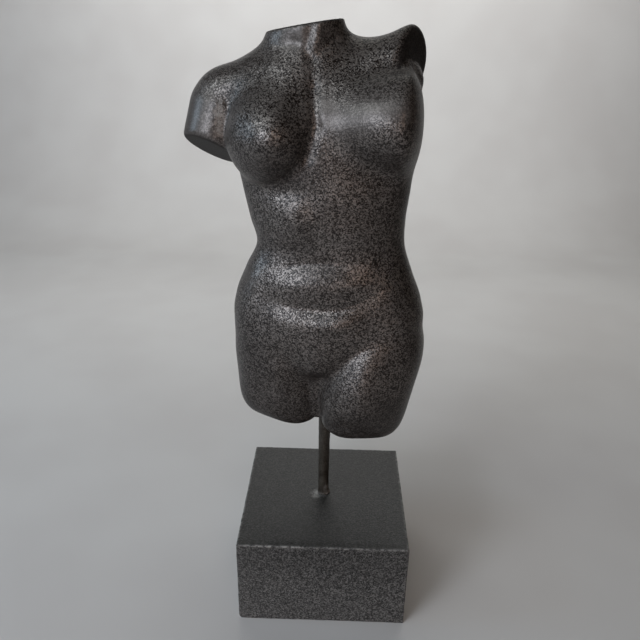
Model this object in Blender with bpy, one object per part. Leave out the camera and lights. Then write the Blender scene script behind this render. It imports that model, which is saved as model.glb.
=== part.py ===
"""A headless classical torso with arm stumps, on a thin rod in a square block.

Metres, +Z up.  The origin is the middle of the block's underside; the front
of the figure looks towards -Y.
"""
import math

import bmesh
import bpy
import numpy as np
from mathutils import Matrix, Vector

MM = 0.001
GAP = 0.3                   # mm between two pieces that touch

# the block
BLOCK_SIDE = 90.0
BLOCK_HEIGHT = 51.0
BLOCK_EDGE_RADIUS = 1.6
BLOCK_SOCKET_DEPTH = 12.0

# the rod, thicker at its top
ROD_X = -0.7
ROD_Y = 1.0
ROD_TOP_RADIUS = 3.4
ROD_FOOT_RADIUS = 2.8
ROD_TOP_Z = 113.0
ROD_FOOT_Z = BLOCK_HEIGHT - BLOCK_SOCKET_DEPTH
ROD_SIDES = 24

# the figure's skin
FIGURE_LOW = (-78.0, -48.0, 92.0)
FIGURE_HIGH = (66.0, 50.0, 326.0)
FIGURE_CELL = 2.6
FIGURE_TRIANGLES = 8600

# ---------------------------------------------------------------- the figure
# The figure is one cast form.  It is described as a field that is negative
# inside: a trunk and two thighs lofted through stations, with the breasts,
# shoulders, arm stumps, neck and buttocks blended on, and the folds of the
# belly, the spine and the shoulder blades laid in.  Lengths in millimetres;
# x across (the figure's right arm is at -x), y from front to back, z up.

FIGURE_TURN = 8.67          # degrees, turned towards -x

# height, centre across, centre deep, half width, depth in front, depth
# behind, squareness
TRUNK_STATIONS = (
    (128.0, -1.0, -2.0, 7.0, 13.0, 16.0, 2.0),
    (136.0, -1.0, -2.5, 11.0, 19.0, 20.0, 2.0),
    (142.0, -1.0, -1.5, 18.0, 22.5, 22.0, 2.0),
    (148.0, -1.0, -1.0, 27.0, 24.0, 24.0, 2.0),
    (156.0, -0.6, 0.0, 39.0, 25.2, 25.5, 2.1),
    (164.0, 0.0, 1.0, 45.8, 25.8, 26.0, 2.25),
    (175.0, -0.2, 1.0, 46.0, 25.0, 25.0, 2.3),
    (188.0, -0.4, 1.0, 41.4, 23.8, 22.5, 2.3),      # hips
    (201.0, 0.2, 1.0, 36.3, 22.5, 21.5, 2.25),      # waist
    (214.0, -1.5, 1.2, 37.6, 23.5, 22.5, 2.25),
    (228.0, -2.4, 1.8, 39.8, 25.0, 24.5, 2.25),     # ribs
    (243.0, -4.3, 2.6, 40.5, 25.5, 26.0, 2.25),
    (257.0, -5.0, 3.4, 38.5, 25.5, 26.5, 2.2),
    (269.0, -7.0, 4.2, 35.5, 22.5, 25.0, 2.1),      # armpits
    (280.0, -10.0, 5.0, 28.5, 18.0, 21.0, 2.0),
    (290.0, -12.5, 5.0, 17.5, 13.5, 16.0, 2.0),
    (312.0, -14.0, 4.0, 13.5, 12.0, 14.0, 2.0),
)
LEFT_THIGH_STATIONS = (
    (84.0, -24.2, 1.0, 20.6, 19.0, 20.5, 2.5),
    (100.0, -23.9, 1.0, 20.9, 20.0, 21.8, 2.5),
    (115.0, -24.3, 1.0, 22.2, 21.6, 23.0, 2.5),
    (130.0, -24.6, 1.0, 22.9, 22.8, 24.5, 2.4),
    (145.0, -25.0, 1.0, 23.5, 23.2, 25.5, 2.3),
    (158.0, -24.9, 1.0, 23.0, 22.4, 25.5, 2.2),
    (172.0, -23.5, 1.0, 20.0, 18.0, 21.0, 2.1),
)
RIGHT_THIGH_STATIONS = (
    (84.0, 18.6, -1.0, 20.0, 19.0, 20.5, 2.5),
    (100.0, 19.6, -1.0, 21.2, 20.8, 21.8, 2.5),
    (115.0, 21.0, -1.0, 22.4, 22.8, 23.0, 2.5),
    (130.0, 22.6, -1.0, 23.8, 23.8, 24.5, 2.4),
    (145.0, 24.2, 0.0, 24.9, 23.4, 25.5, 2.3),
    (158.0, 24.6, 0.5, 24.2, 22.0, 25.5, 2.2),
    (172.0, 23.0, 1.0, 20.6, 17.5, 21.0, 2.1),
)
# The raised shoulder tilts the chest: rise per millimetre across, by height.
TILT_HEIGHTS = (190.0, 230.0, 262.0, 290.0)
TILT_RISE = (0.0, 0.05, 0.12, 0.17)

# How far the belly's front stands out of its section, by height.
FRONT_HEIGHTS = (132.0, 150.0, 163.0, 169.0, 176.5, 182.0, 187.5, 198.5, 205.0, 213.0, 223.0)
FRONT_STANDS = (0.0, 0.3, 1.1, 1.3, -0.7, 0.1, 1.0, -1.25, -0.9, 0.1, 0.0)

# Where the neck, the lowered arm and the raised arm are cut: a point on the
# cut and the way its face looks.
NECK_CUT = ((-13.0, -1.0, 298.1), (-0.165, -0.02, 1.0))
LOWERED_ARM_CUT = ((-58.5, 1.0, 243.0), (-0.30, -0.46, -0.86))
RAISED_ARM_CUT = ((35.6, 6.0, 285.0), (0.89, -0.42, 0.10))
LEFT_THIGH_END = ((-24.0, 0.0, 107.0), (-0.055, 0.05, -1.0))
RIGHT_THIGH_END = ((22.0, 0.0, 102.0), (-0.09, 0.03, -1.0))


def soft_min(a, b, k):
    """Union of two fields, filleted over the width k."""
    h = np.maximum(k - np.abs(a - b), 0) / k
    return np.minimum(a, b) - h * h * h * k / 6


def soft_max(a, b, k):
    return -soft_min(-a, -b, k)


def step(lo, hi, x):
    t = np.clip((x - lo) / (hi - lo), 0, 1)
    return t * t * (3 - 2 * t)


def through(at, values, x):
    """A smooth curve through the values, read at x."""
    at = np.asarray(at, float)
    values = np.asarray(values, float)
    h = np.diff(at)
    d = np.diff(values) / h
    m = np.empty(len(values))
    m[1:-1] = (d[:-1] * h[1:] + d[1:] * h[:-1]) / (h[:-1] + h[1:])
    m[0], m[-1] = d[0], d[-1]
    xc = np.clip(x, at[0], at[-1])
    i = np.clip(np.searchsorted(at, xc, side="right") - 1, 0, len(h) - 1)
    t = (xc - at[i]) / h[i]
    t2 = t * t
    t3 = t2 * t
    return (
        (2 * t3 - 3 * t2 + 1) * values[i]
        + (t3 - 2 * t2 + t) * h[i] * m[i]
        + (3 * t2 - 2 * t3) * values[i + 1]
        + (t3 - t2) * h[i] * m[i + 1]
    )


def lofted(p, stations):
    """A body whose sections, squared ellipses, follow the stations."""
    st = np.array(stations, float)
    x, y, z = p
    h = z - through(TILT_HEIGHTS, TILT_RISE, z) * (x + 8.0)
    cx, cy, a, front, behind, n = (through(st[:, 0], st[:, k], h) for k in range(1, 7))
    u = x - cx
    v = y - cy
    d = np.where(v < 0, front, behind)
    r = (np.abs(u / a) ** n + np.abs(v / d) ** n) ** (1 / n) + 1e-9
    return (np.sqrt(u * u + v * v) + 1e-9) * (1 - 1 / r)


def ellipsoid(p, centre, radii):
    x, y, z = (p[k] - centre[k] for k in range(3))
    a, b, c = radii
    r = np.sqrt((x / a) ** 2 + (y / b) ** 2 + (z / c) ** 2) + 1e-9
    g = np.sqrt((x / a**2) ** 2 + (y / b**2) ** 2 + (z / c**2) ** 2) + 1e-9
    return r * (r - 1) / g


def round_cone(p, a, b, ra, rb):
    """The hull of a ball at a and a ball at b."""
    a = np.array(a, float)
    b = np.array(b, float)
    ba = b - a
    l2 = ba @ ba
    rr = ra - rb
    a2 = l2 - rr * rr
    x, y, z = (p[k] - a[k] for k in range(3))
    t = x * ba[0] + y * ba[1] + z * ba[2]
    s = t - l2
    x2 = np.maximum((x * x + y * y + z * z) * l2 - t * t, 0) * l2
    k = np.sign(rr) * rr * rr * x2
    return np.where(
        np.sign(s) * a2 * s * s * l2 > k,
        np.sqrt(x2 + s * s * l2) / l2 - rb,
        np.where(
            np.sign(t) * a2 * t * t * l2 < k,
            np.sqrt(x2 + t * t * l2) / l2 - ra,
            (np.sqrt(x2 * a2 / l2) + t * rr) / l2 - ra,
        ),
    )


def swelling(p, centre, radii):
    return np.exp(-sum(((p[k] - centre[k]) / radii[k]) ** 2 for k in range(3)))


def line(p, a, b, width):
    """1 along the line from a to b, falling to 0 over the width."""
    a = np.array(a, float)
    ba = np.array(b, float) - a
    x, y, z = (p[k] - a[k] for k in range(3))
    t = np.clip((x * ba[0] + y * ba[1] + z * ba[2]) / (ba @ ba), 0, 1)
    return np.exp(-((x - t * ba[0]) ** 2 + (y - t * ba[1]) ** 2 + (z - t * ba[2]) ** 2) / width**2)


def beyond(p, cut):
    """Height above a cut's plane: positive on the side that is cut away."""
    n = np.array(cut[1], float)
    n /= np.sqrt(n @ n)
    return sum((p[k] - cut[0][k]) * n[k] for k in range(3))


def figure_upright(q, cuts):
    x, y, z = q
    f = lofted(q, TRUNK_STATIONS)
    f = soft_max(f, 136.5 - z, 10)
    f = soft_max(f, z - 306, 6)
    # breasts: the lowered side hangs with a crisp lower edge, the raised
    # side is drawn up and blends into the ribs
    low = ellipsoid(q, (-24.6, -9.2, 250.6), (21.4, 20.6, 22.2))
    low = soft_min(low, ellipsoid(q, (-22.0, -21.5, 253.0), (11.5, 11.8, 12.0)), 10)
    low = soft_min(low, round_cone(q, (-22.5, -8.5, 257.0), (-18.0, -3.5, 270.0), 18.5, 14.5), 7)
    low = soft_min(low, round_cone(q, (-35.4, -3.6, 250.0), (-33.0, -0.4, 272.0), 12.6, 11.6), 9)
    wide = (
        25.5 + 1.3 * (x - 34) + 0.8 * np.sqrt((x - 34) ** 2 + 4),
        y,
        259 + 0.94 * (z - 259) - 0.06 * np.sqrt((z - 259) ** 2 + 25) + 0.25,
    )
    high = ellipsoid(wide, (25.0, -6.6, 259.0), (16.4, 22.4, 19.6))
    up = step(246, 266, z)
    f = soft_min(f, low, 3.2 + 10 * up)
    f = soft_min(f, high, (3 + 8 * step(-6, 12, x) + 7 * step(22, 38, x)) * (1 - up) + 11 * up)
    # the valley between them, from the notch down to the ribs
    f = f + 0.8 * line(q, (-6.9, -12.4, 284), (-5.6, -17, 272.6), 2.6)
    f = f + 1.3 * line(q, (-5.6, -17, 272.6), (-3.6, -22.6, 258), 2.3)
    f = f + 1.0 * line(q, (-3.6, -22.6, 258), (-6.9, -22.9, 245), 2.3)
    # the raised breast's upper edge
    f = f + 0.3 * line(q, (-1, -19, 274.8), (15, -22.5, 274.2), 3.4)
    f = f + 0.3 * line(q, (15, -22.5, 274.2), (31, -22, 270.8), 3.4)
    f = f + 0.9 * line(q, (-9.5, -22, 280), (-9.5, -24, 270), 6.0)
    # shoulders and arm stumps
    f = soft_min(f, round_cone(q, (-20, 7, 286.6), (-45, 6, 269.4), 10.4, 10.0), 11)
    f = soft_min(f, round_cone(q, (-6, 7, 287), (18, 6, 280), 9.0, 12.0), 12)
    f = soft_min(f, round_cone(q, (-22, -1.5, 277), (-47, 2, 268.5), 10, 10.4), 10)
    arm = round_cone(q, (-51.5, 4.5, 261.5), (-59.5, -1.5, 238), 17.0, 13.8)
    arm = soft_max(arm, beyond(q, LOWERED_ARM_CUT), 3)
    f = soft_min(f, arm, 1.6 + 12 * step(264, 278, z))
    stump = round_cone(q, (16, 6, 274.5), (38, 6, 288.0), 14.0, 12.9)
    stump = soft_max(stump, beyond(q, RAISED_ARM_CUT), 7)
    f = soft_min(f, stump, 4 + 7 * step(266, 286, z))
    f = soft_min(f, round_cone(q, (25, 6, 262), (33.5, 5, 276), 8.0, 6.0), 6)
    f = f + 0.5 * line(q, (24, -9, 283), (38, -1, 276), 4.5)
    # neck: a flat to the left of the notch, a tendon on its right, the pit
    neck = round_cone(q, (-16.5, 6.0, 276), (-16.4, 3.6, 305), 14.2, 12.4)
    neck = soft_min(neck, round_cone(q, (-8.5, 3.0, 276), (-9.0, 0.4, 305), 13.0, 12.0), 8)
    f = soft_min(f, neck, 10)
    f = f + 0.35 * line(q, (-23, -8.8, 289.1), (-14.5, -11.3, 290.7), 2.5)
    f = f + 0.35 * line(q, (-14.5, -11.3, 290.7), (-7.8, -11.7, 287.0), 2.5)
    f = f + 0.6 * line(q, (-9.4, -11.4, 288.5), (-7.6, -10.6, 299), 2.2)
    f = f - 0.9 * line(q, (-6.6, -11.4, 288.0), (-3.4, -10.3, 300), 2.4)
    f = f + 0.7 * line(q, (-4.2, -11.0, 288.5), (1.7, -6.6, 292.6), 2.0)
    f = f + 0.8 * swelling(q, (-7.4, -12.0, 285.6), (2.8, 3.2, 2.6))
    f = f - 0.3 * line(q, (-13, -19, 283), (-26, -15.5, 283.5), 3.4)
    if cuts:
        f = soft_max(f, beyond(q, NECK_CUT), 1.6)
    # thighs, touching along one crease, their ends rounder on the outside
    legs = []
    for stations, end, outer in (
        (LEFT_THIGH_STATIONS, LEFT_THIGH_END, step(10, 34, -x)),
        (RIGHT_THIGH_STATIONS, RIGHT_THIGH_END, step(8, 30, x)),
    ):
        leg = soft_max(lofted(q, stations), z - 170, 26)
        legs.append(soft_max(leg, beyond(q, end), 6 + 13 * outer))
    legs = soft_min(legs[0], legs[1], 2.6)
    web = round_cone(q, (-2.6, -2.5, 110), (-2.0, -4, 140), 11.5, 13.5)
    legs = soft_min(legs, soft_max(web, beyond(q, LEFT_THIGH_END) + 4, 4), 2.0)
    beside = np.maximum(step(20, 42, np.abs(x + 1)), step(-8, 10, y))
    f = soft_min(f, legs, 4 + 6 * step(-2, 8, -x) + 11 * beside)
    seat = soft_min(
        ellipsoid(q, (-23.5, 12, 143), (22.5, 21, 24)),
        ellipsoid(q, (23, 12, 142), (22.5, 21, 24)),
        2.5,
    )
    f = soft_min(f, seat, 13)
    # rib arch and the two folds of the belly: the front stands out by the
    # amounts of FRONT_STANDS, between creases that curve across the body
    front = step(-2, 10, -y)
    crease = 196.5 - 0.0062 * (x - 7) ** 2
    lower = 173.5 + np.where(x < -1, 0.0035, 0.0122) * (x + 1) ** 2
    between = step(180, 194, z)
    h = z - (1 - between) * (lower - 176.0) - between * (crease - 197.5)
    stands = through(FRONT_HEIGHTS, FRONT_STANDS, h)
    f = f - stands * front * np.exp(-(((x + 3) / (25 - 6 * step(178, 188, z) * step(-10, 2, -x))) ** 4))
    f = f + 0.45 * front * np.exp(-(((z - crease - 0.6) / 1.5) ** 2) - ((x + 1) / 17) ** 4)
    f = f + 0.50 * front * np.exp(-(((z - lower - 0.8) / 1.7) ** 2) - ((x - 3) / 24) ** 4)
    f = f - 1.9 * swelling(q, (-15, -24, 217.5), (12, 14, 8.0)) * front
    f = f - 1.0 * swelling(q, (7, -25, 168.5), (9, 14, 5.5)) * front
    f = f + 1.0 * swelling(q, (-19, -26, 229), (12, 12, 4.0)) * front
    f = f + 0.4 * front * np.exp(-(((x + 5) / 4.0) ** 2)) * step(204, 212, z) * step(-232, -222, -z)
    f = f - 1.1 * line(q, (31, -15, 183), (35, -14, 170), 8.0)
    f = f - 1.0 * line(q, (-35, -17, 185), (-37, -16, 172), 7.0)
    f = f + 0.7 * line(q, (30, -15, 196), (18.6, -21, 169), 6.5)
    # the near thigh stands out below the line of the groin, the other less
    across = np.clip(x, 0, 32)
    below = (135.5 + 1.28 * across - 0.0175 * across**2 + 0.6 * np.minimum(x, 0) - z) * 0.75
    below = 0.5 * (below + np.sqrt(below * below + 0.8))
    reach = step(-2.5, 2.0, x) * step(-38, -20, -x) * step(102, 124, z)
    f = f - 4.8 * front * reach * (1 - np.exp(-below / 7.5))
    below = (135.5 - 0.84 * (x + 2.0) - z) * 0.76
    below = 0.5 * (below + np.sqrt(below * below + 2.5))
    reach = step(0.0, 4.0, -x) * step(-34, -20, x) * step(104, 126, z)
    f = f - 1.3 * front * reach * (1 - np.exp(-below / 6.0))
    # back: spine, the ridges beside it, shoulder blades and dimples
    back = step(4, 14, y)
    spine = through((140, 200, 250, 290), (-1, 0.5, -4, -12), z)
    f = f + 1.9 * back * np.exp(-(((x - spine) / 4.5) ** 2)) * step(158, 175, z) * step(-290, -268, -z)
    for side in (-11, 11):
        f = f - 0.9 * back * np.exp(-(((x - spine - side) / 6.5) ** 2)) * step(168, 182, z) * step(-236, -214, -z)
    f = f - 2.2 * swelling(q, (-30, 26, 259), (11, 14, 15)) - 2.2 * swelling(q, (17, 26, 263), (12, 14, 14))
    f = f + 0.9 * line(q, (-17, 30, 268), (-24, 29, 246), 4.0) + 0.9 * line(q, (6, 30, 270), (13, 29, 248), 4.0)
    f = f + 0.8 * (swelling(q, (-12, 26, 172), (4.5, 10, 4.5)) + swelling(q, (12, 26, 172), (4.5, 10, 4.5)))
    return f


def figure(p, cuts=True):
    """The field of the turned figure, at p = (x, y, z)."""
    c = math.cos(math.radians(FIGURE_TURN))
    s = math.sin(math.radians(FIGURE_TURN))
    return figure_upright((p[0] * c - p[1] * s, p[0] * s + p[1] * c, p[2]), cuts)


# ---------------------------------------------------------------- its surface
def surface(field, low, high, cell):
    """A closed skin of quads round the field's inside: one point in each cell
    that the surface passes through."""
    n = [int(math.ceil((high[k] - low[k]) / cell)) + 1 for k in range(3)]
    axes = [low[k] + cell * np.arange(n[k]) for k in range(3)]
    value = np.empty(n)
    slab = max(1, 2_000_000 // (n[1] * n[2]))
    for i in range(0, n[0], slab):
        value[i : i + slab] = field(np.meshgrid(axes[0][i : i + slab], axes[1], axes[2], indexing="ij"))
    inside = value < 0
    corners = np.zeros([k - 1 for k in n], int)
    for i in (0, 1):
        for j in (0, 1):
            for k in (0, 1):
                corners += inside[i : n[0] - 1 + i, j : n[1] - 1 + j, k : n[2] - 1 + k]
    active = (corners > 0) & (corners < 8)
    number = np.full(active.shape, -1)
    number[active] = np.arange(active.sum())
    cells = np.argwhere(active)
    total = np.zeros((len(cells), 3))
    count = np.zeros(len(cells))
    for axis in range(3):
        others = [k for k in range(3) if k != axis]
        for i in (0, 1):
            for j in (0, 1):
                start = cells.copy()
                start[:, others[0]] += i
                start[:, others[1]] += j
                end = start.copy()
                end[:, axis] += 1
                v0 = value[tuple(start.T)]
                v1 = value[tuple(end.T)]
                crosses = (v0 < 0) != (v1 < 0)
                point = start.astype(float)
                point[:, axis] += np.where(crosses, v0 / np.where(crosses, v0 - v1, 1), 0)
                total[crosses] += point[crosses]
                count += crosses
    points = np.array(low) + cell * total / count[:, None]
    quads = []
    for axis in range(3):
        b, c = ((1, 2), (2, 0), (0, 1))[axis]
        first = [slice(None)] * 3
        second = [slice(None)] * 3
        first[axis] = slice(0, n[axis] - 1)
        second[axis] = slice(1, n[axis])
        starts = inside[tuple(first)]
        edges = np.argwhere(starts != inside[tuple(second)])

        def around(i, j):
            cell_of = edges.copy()
            cell_of[:, b] += i
            cell_of[:, c] += j
            return number[tuple(cell_of.T)]

        quad = np.stack([around(-1, -1), around(0, -1), around(0, 0), around(-1, 0)], 1)
        outward = starts[tuple(edges.T)]
        quad[~outward] = quad[~outward][:, ::-1]
        quads.append(quad)
    return points, np.concatenate(quads)


def slope(field, points, e=0.05):
    g = np.empty_like(points)
    for k in range(3):
        a = points.copy()
        b = points.copy()
        a[:, k] += e
        b[:, k] -= e
        g[:, k] = (field(a.T) - field(b.T)) / (2 * e)
    return g


def drawn_on(field, points, rounds=4):
    """The points moved onto the surface, along the field's slope."""
    points = points.copy()
    for _ in range(rounds):
        g = slope(field, points)
        move = np.clip(field(points.T) / np.maximum((g * g).sum(1), 0.05), -1.5, 1.5)
        points -= move[:, None] * g
    return points


# ---------------------------------------------------------------- objects
def clear_scene():
    for obj in list(bpy.data.objects):
        bpy.data.objects.remove(obj, do_unlink=True)


def material(name, colour, roughness, metallic=0.0):
    mat = bpy.data.materials.new(name)
    mat.use_nodes = True
    shader = mat.node_tree.nodes["Principled BSDF"]
    shader.inputs["Base Color"].default_value = (*colour, 1.0)
    shader.inputs["Roughness"].default_value = roughness
    shader.inputs["Metallic"].default_value = metallic
    return mat


def object_of(name, bm, mat=None, smooth_angle=None):
    mesh = bpy.data.meshes.new(name)
    bm.to_mesh(mesh)
    bm.free()
    obj = bpy.data.objects.new(name, mesh)
    bpy.context.scene.collection.objects.link(obj)
    if mat is not None:
        mesh.materials.append(mat)
    if smooth_angle is not None:
        mesh.shade_smooth()
        mesh.set_sharp_from_angle(angle=math.radians(smooth_angle))
    return obj


def cutter(name, bm):
    obj = object_of(name, bm)
    obj.hide_render = True
    obj.display_type = "WIRE"
    return obj


def cut(obj, tool):
    mod = obj.modifiers.new("cut_" + tool.name, "BOOLEAN")
    mod.operation = "DIFFERENCE"
    mod.solver = "EXACT"
    mod.object = tool


def turned(profile, sides, x, y):
    """A closed round body: circles of the profile's (radius, height), bridged."""
    bm = bmesh.new()
    rings = []
    for radius, z in profile:
        ring = bmesh.ops.create_circle(
            bm, cap_ends=False, segments=sides, radius=radius * MM,
            matrix=Matrix.Translation(Vector((x, y, z)) * MM),
        )["verts"]
        rings.append(ring)
    for low, high in zip(rings, rings[1:]):
        for i in range(sides):
            j = (i + 1) % sides
            bm.faces.new((low[i], low[j], high[j], high[i]))
    bm.faces.new(rings[0])
    bm.faces.new(rings[-1])
    bmesh.ops.recalc_face_normals(bm, faces=bm.faces)
    return bm


def rod_radius(z):
    t = (z - BLOCK_HEIGHT) / (ROD_TOP_Z - BLOCK_HEIGHT)
    return ROD_FOOT_RADIUS + (ROD_TOP_RADIUS - ROD_FOOT_RADIUS) * min(max(t, 0.0), 1.0)


def make_block(mat):
    bm = bmesh.new()
    bmesh.ops.create_cube(
        bm, size=1.0,
        matrix=Matrix.Translation((0, 0, BLOCK_HEIGHT * MM / 2))
        @ Matrix.Diagonal((BLOCK_SIDE * MM, BLOCK_SIDE * MM, BLOCK_HEIGHT * MM, 1.0)),
    )
    block = object_of("plinth_block", bm, mat, 35)
    edge = block.modifiers.new("worn_edges", "BEVEL")
    edge.width = BLOCK_EDGE_RADIUS * MM
    edge.segments = 3
    edge.limit_method = "ANGLE"
    socket = cutter("block_socket", turned(
        ((ROD_FOOT_RADIUS + GAP, ROD_FOOT_Z - GAP), (ROD_FOOT_RADIUS + GAP, BLOCK_HEIGHT + 8.0)),
        ROD_SIDES, ROD_X, ROD_Y,
    ))
    cut(block, socket)
    return block


def make_rod(mat):
    heights = [ROD_FOOT_Z, BLOCK_HEIGHT]
    heights += [BLOCK_HEIGHT + (ROD_TOP_Z - BLOCK_HEIGHT) * k / 4 for k in range(1, 5)]
    bm = turned([(rod_radius(z), z) for z in heights], ROD_SIDES, ROD_X, ROD_Y)
    return object_of("support_rod", bm, mat, 35)


def saw(name, at):
    """A big box whose near face is the plane of a cut through the figure."""
    turn = Matrix.Rotation(math.radians(-FIGURE_TURN), 4, "Z")
    normal = (turn.to_3x3() @ Vector(at[1])).normalized()
    point = turn @ Vector(at[0])
    size = 90.0
    place = Matrix.Translation((point + normal * size / 2) * MM) @ normal.to_track_quat("Z", "Y").to_matrix().to_4x4()
    bm = bmesh.new()
    bmesh.ops.create_cube(bm, size=size * MM, matrix=place)
    return cutter(name, bm)


def make_torso(mat):
    def field(p):
        return figure(p, cuts=False)

    points, quads = surface(field, FIGURE_LOW, FIGURE_HIGH, FIGURE_CELL)
    points = drawn_on(field, points)
    bm = bmesh.new()
    verts = [bm.verts.new(p) for p in points * MM]
    for quad in quads:
        bm.faces.new([verts[i] for i in quad])
    torso = object_of("torso", bm, mat, 50)
    fewer = torso.modifiers.new("lighter_skin", "DECIMATE")
    fewer.ratio = min(1.0, FIGURE_TRIANGLES / (2.0 * len(quads)))
    cut(torso, saw("neck_saw", NECK_CUT))
    socket = cutter("torso_socket", turned(
        ((ROD_TOP_RADIUS + GAP, 84.0), (ROD_TOP_RADIUS + GAP, ROD_TOP_Z + GAP)),
        ROD_SIDES, ROD_X, ROD_Y,
    ))
    cut(torso, socket)
    return torso


def main():
    clear_scene()
    figure_mat = material("figure_finish", (0.030, 0.030, 0.033), 0.45)
    block_mat = material("block_finish", (0.075, 0.078, 0.082), 0.62)
    rod_mat = material("rod_finish", (0.020, 0.018, 0.017), 0.40, 0.6)
    stand = bpy.data.objects.new("stand", None)
    bpy.context.scene.collection.objects.link(stand)
    for piece in (make_block(block_mat), make_rod(rod_mat), make_torso(figure_mat)):
        piece.parent = stand


main()
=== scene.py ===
"""A headless torso on a rod and block: its finish, wear and lighting."""
import math
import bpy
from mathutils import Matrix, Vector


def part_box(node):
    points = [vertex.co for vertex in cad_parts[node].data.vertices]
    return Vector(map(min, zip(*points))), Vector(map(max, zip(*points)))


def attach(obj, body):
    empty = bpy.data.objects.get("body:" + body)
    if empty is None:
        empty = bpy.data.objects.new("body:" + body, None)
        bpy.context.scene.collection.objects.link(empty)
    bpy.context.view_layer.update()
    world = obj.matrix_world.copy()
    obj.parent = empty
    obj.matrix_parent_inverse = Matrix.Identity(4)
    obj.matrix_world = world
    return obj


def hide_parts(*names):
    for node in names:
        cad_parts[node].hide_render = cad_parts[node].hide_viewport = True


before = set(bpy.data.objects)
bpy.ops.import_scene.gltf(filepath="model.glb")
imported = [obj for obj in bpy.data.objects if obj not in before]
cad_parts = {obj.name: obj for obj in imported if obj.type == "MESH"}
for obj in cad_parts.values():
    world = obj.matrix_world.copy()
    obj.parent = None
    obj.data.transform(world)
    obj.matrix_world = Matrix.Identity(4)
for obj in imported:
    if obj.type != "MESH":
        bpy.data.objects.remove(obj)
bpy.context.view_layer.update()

from concurrent.futures import ThreadPoolExecutor

import bpy
import numpy as np
from mathutils import Matrix, Vector

MM = 0.001
SKIN_CELL = 0.97            # the size of the figure's surface cells, mm

# ---------------------------------------------------------------- the figure
# The figure is one cast form.  It is described as a field that is negative
# inside: a trunk and two thighs lofted through stations, with the breasts,
# shoulders, arm stumps, neck and buttocks blended on, and the folds of the
# belly, the spine and the shoulder blades laid in.  Lengths in millimetres;
# x across (the figure's right arm is at -x), y from front to back, z up.

FIGURE_TURN = 8.67          # degrees, turned towards -x

# height, centre across, centre deep, half width, depth in front, depth
# behind, squareness
TRUNK_STATIONS = (
    (128.0, -1.0, -2.0, 7.0, 13.0, 16.0, 2.0),
    (136.0, -1.0, -2.5, 11.0, 19.0, 20.0, 2.0),
    (142.0, -1.0, -1.5, 18.0, 22.5, 22.0, 2.0),
    (148.0, -1.0, -1.0, 27.0, 24.0, 24.0, 2.0),
    (156.0, -0.6, 0.0, 39.0, 25.2, 25.5, 2.1),
    (164.0, 0.0, 1.0, 45.8, 25.8, 26.0, 2.25),
    (175.0, -0.2, 1.0, 46.0, 25.0, 25.0, 2.3),
    (188.0, -0.4, 1.0, 41.4, 23.8, 22.5, 2.3),      # hips
    (201.0, 0.2, 1.0, 36.3, 22.5, 21.5, 2.25),      # waist
    (214.0, -1.5, 1.2, 37.6, 23.5, 22.5, 2.25),
    (228.0, -2.4, 1.8, 39.8, 25.0, 24.5, 2.25),     # ribs
    (243.0, -4.3, 2.6, 40.5, 25.5, 26.0, 2.25),
    (257.0, -5.0, 3.4, 38.5, 25.5, 26.5, 2.2),
    (269.0, -7.0, 4.2, 35.5, 22.5, 25.0, 2.1),      # armpits
    (280.0, -10.0, 5.0, 28.5, 18.0, 21.0, 2.0),
    (290.0, -12.5, 5.0, 17.5, 13.5, 16.0, 2.0),
    (312.0, -14.0, 4.0, 13.5, 12.0, 14.0, 2.0),
)
LEFT_THIGH_STATIONS = (
    (84.0, -24.2, 1.0, 20.6, 19.0, 20.5, 2.5),
    (100.0, -23.9, 1.0, 20.9, 20.0, 21.8, 2.5),
    (115.0, -24.3, 1.0, 22.2, 21.6, 23.0, 2.5),
    (130.0, -24.6, 1.0, 22.9, 22.8, 24.5, 2.4),
    (145.0, -25.0, 1.0, 23.5, 23.2, 25.5, 2.3),
    (158.0, -24.9, 1.0, 23.0, 22.4, 25.5, 2.2),
    (172.0, -23.5, 1.0, 20.0, 18.0, 21.0, 2.1),
)
RIGHT_THIGH_STATIONS = (
    (84.0, 18.6, -1.0, 20.0, 19.0, 20.5, 2.5),
    (100.0, 19.6, -1.0, 21.2, 20.8, 21.8, 2.5),
    (115.0, 21.0, -1.0, 22.4, 22.8, 23.0, 2.5),
    (130.0, 22.6, -1.0, 23.8, 23.8, 24.5, 2.4),
    (145.0, 24.2, 0.0, 24.9, 23.4, 25.5, 2.3),
    (158.0, 24.6, 0.5, 24.2, 22.0, 25.5, 2.2),
    (172.0, 23.0, 1.0, 20.6, 17.5, 21.0, 2.1),
)
# The raised shoulder tilts the chest: rise per millimetre across, by height.
TILT_HEIGHTS = (190.0, 230.0, 262.0, 290.0)
TILT_RISE = (0.0, 0.05, 0.12, 0.17)

# How far the belly's front stands out of its section, by height.
FRONT_HEIGHTS = (132.0, 150.0, 163.0, 169.0, 176.5, 182.0, 187.5, 198.5, 205.0, 213.0, 223.0)
FRONT_STANDS = (0.0, 0.3, 1.1, 1.3, -0.7, 0.1, 1.0, -1.25, -0.9, 0.1, 0.0)

# Where the neck, the lowered arm and the raised arm are cut: a point on the
# cut and the way its face looks.
NECK_CUT = ((-13.0, -1.0, 298.1), (-0.165, -0.02, 1.0))
LOWERED_ARM_CUT = ((-58.5, 1.0, 243.0), (-0.30, -0.46, -0.86))
RAISED_ARM_CUT = ((35.6, 6.0, 285.0), (0.89, -0.42, 0.10))
LEFT_THIGH_END = ((-24.0, 0.0, 107.0), (-0.055, 0.05, -1.0))
RIGHT_THIGH_END = ((22.0, 0.0, 102.0), (-0.09, 0.03, -1.0))


def soft_min(a, b, k):
    """Union of two fields, filleted over the width k."""
    h = np.maximum(k - np.abs(a - b), 0) / k
    return np.minimum(a, b) - h * h * h * k / 6


def soft_max(a, b, k):
    return -soft_min(-a, -b, k)


def step(lo, hi, x):
    t = np.clip((x - lo) / (hi - lo), 0, 1)
    return t * t * (3 - 2 * t)


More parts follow.
